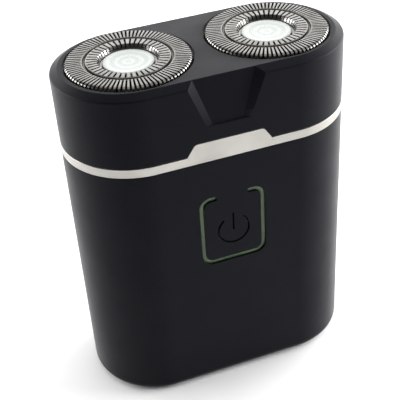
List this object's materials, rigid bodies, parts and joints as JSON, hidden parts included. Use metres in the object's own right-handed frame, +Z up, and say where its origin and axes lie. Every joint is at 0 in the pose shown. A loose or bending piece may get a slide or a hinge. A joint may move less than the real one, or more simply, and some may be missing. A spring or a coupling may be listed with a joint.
{
  "type": "electric shaver",
  "caption": "Compact rotary shaver: stadium-section housing with flap power button, silver band, lift-off head with two sprung round foils, cutters and gear drive inside.",
  "frame": {"origin": "centre of the flat base", "axes": "+Z up through the cutting heads, X along the wide side, -Y towards the power button"},
  "size_m": [0.06, 0.03, 0.0766],
  "materials": {
    "soft_black": "soft-touch matte, fine grain",
    "satin_silver": "satin, fine brushed",
    "steel_foil": "bright stamped steel",
    "cutter_steel": "ground steel",
    "pale_disc": "pearl metallic, polished",
    "green_guide": "translucent, satin",
    "dark_plastic": "moulded satin",
    "grey_plastic": "moulded satin",
    "white_nylon": "moulded satin",
    "bright_metal": "bright plated",
    "motor_steel": "zinc plated",
    "brass": "machined",
    "seal_rubber": "matt",
    "board_green": "solder resist",
    "cell_wrap": "shrink sleeve",
    "red_wire": "insulation",
    "black_wire": "insulation"
  },
  "bodies": {
    "body": {"main_housing": "soft_black", "silver_band": "satin_silver", "drive_deck": "dark_plastic", "gear_bracket": "dark_plastic", "motor_can": "motor_steel", "motor_end_cap": "white_nylon", "control_board": "board_green", "tact_switch": "grey_plastic", "light_guide": "green_guide", "chassis": "white_nylon", "battery_cell": "cell_wrap", "charging_socket": "bright_metal", "socket_tongue": "dark_plastic", "port_gasket": "seal_rubber", "charge_board": "board_green", "bracket_screw_1": "bright_metal", "bracket_screw_2": "bright_metal", "bracket_screw_3": "bright_metal", "bracket_screw_4": "bright_metal", "board_screw_1": "bright_metal", "board_screw_2": "bright_metal", "deck_magnet_front": "bright_metal", "deck_magnet_back": "bright_metal", "indicator_led_left": "pale_disc", "shaft_seal_left": "seal_rubber", "axle_pin_left": "bright_metal", "indicator_led_right": "pale_disc", "shaft_seal_right": "seal_rubber", "axle_pin_right": "bright_metal", "motor_lead_plus": "red_wire", "motor_lead_minus": "black_wire", "battery_lead_plus": "red_wire", "battery_lead_minus": "black_wire"},
    "rotor": {"motor_shaft": "bright_metal", "pinion": "brass"},
    "head": {"head_frame": "soft_black", "cutter_bracket": "dark_plastic", "head_magnet_front": "bright_metal", "head_magnet_back": "bright_metal"},
    "lock": {"lock_knob": "grey_plastic"},
    "button": {"power_button": "soft_black"},
    "plunger": {"switch_plunger": "dark_plastic"},
    "gear_left": {"drive_gear_left": "white_nylon", "spindle_spring_left": "bright_metal"},
    "spindle_left": {"spindle_left": "grey_plastic"},
    "foil_left": {"foil_left": "steel_foil", "foil_disc_left": "pale_disc"},
    "cutter_left": {"cutter_left": "cutter_steel"},
    "gear_right": {"drive_gear_right": "white_nylon", "spindle_spring_right": "bright_metal"},
    "spindle_right": {"spindle_right": "grey_plastic"},
    "foil_right": {"foil_right": "steel_foil", "foil_disc_right": "pale_disc"},
    "cutter_right": {"cutter_right": "cutter_steel"}
  },
  "joints": [
    {"name": "motor_spin", "type": "hinge", "parent": "body", "child": "rotor", "pos_m": [0, 0, 0.052], "axis": [0, 0, 1], "continuous": true},
    {"name": "head_lift", "type": "slide", "parent": "body", "child": "head", "axis": [0, 0, 1], "range_m": [0, 0.03]},
    {"name": "lock_turn", "type": "hinge", "parent": "head", "child": "lock", "pos_m": [0, 0, 0.0697], "axis": [0, 0, 1], "range_deg": [0, 90]},
    {"name": "button_press", "type": "hinge", "parent": "body", "child": "button", "pos_m": [0, -0.0142, 0.05], "axis": [1, 0, 0], "range_deg": [0, 1.2], "stiffness_Nm_per_rad": 1},
    {"name": "plunger_press", "type": "slide", "parent": "body", "child": "plunger", "axis": [0, 1, 0], "range_m": [0, 0.0003]},
    {"name": "gear_left_spin", "type": "hinge", "parent": "body", "child": "gear_left", "pos_m": [-0.0145, 0, 0.052], "axis": [0, 0, 1], "continuous": true},
    {"name": "foil_left_float", "type": "slide", "parent": "head", "child": "foil_left", "axis": [0, 0, -1], "range_m": [0, 0.001], "stiffness_N_per_m": 600, "springref_m": -0.0004},
    {"name": "spindle_left_press", "type": "slide", "parent": "gear_left", "child": "spindle_left", "axis": [0, 0, -1], "range_m": [0, 0.001], "deforming": ["spindle_spring_left"]},
    {"name": "cutter_left_spin", "type": "hinge", "parent": "foil_left", "child": "cutter_left", "pos_m": [-0.0145, 0, 0.074], "axis": [0, 0, 1], "continuous": true},
    {"name": "gear_right_spin", "type": "hinge", "parent": "body", "child": "gear_right", "pos_m": [0.0145, 0, 0.052], "axis": [0, 0, 1], "continuous": true},
    {"name": "foil_right_float", "type": "slide", "parent": "head", "child": "foil_right", "axis": [0, 0, -1], "range_m": [0, 0.001], "stiffness_N_per_m": 600, "springref_m": -0.0004},
    {"name": "spindle_right_press", "type": "slide", "parent": "gear_right", "child": "spindle_right", "axis": [0, 0, -1], "range_m": [0, 0.001], "deforming": ["spindle_spring_right"]},
    {"name": "cutter_right_spin", "type": "hinge", "parent": "foil_right", "child": "cutter_right", "pos_m": [0.0145, 0, 0.074], "axis": [0, 0, 1], "continuous": true}
  ],
  "couplings": [
    {"joint": "plunger_press", "follows": "button_press", "m_per_rad": 0.01335},
    {"joint": "gear_left_spin", "follows": "motor_spin", "ratio": -0.33333},
    {"joint": "cutter_left_spin", "follows": "motor_spin", "ratio": -0.33333},
    {"joint": "spindle_left_press", "follows": "foil_left_float", "ratio": 1},
    {"joint": "gear_right_spin", "follows": "motor_spin", "ratio": -0.33333},
    {"joint": "cutter_right_spin", "follows": "motor_spin", "ratio": -0.33333},
    {"joint": "spindle_right_press", "follows": "foil_right_float", "ratio": 1}
  ]
}
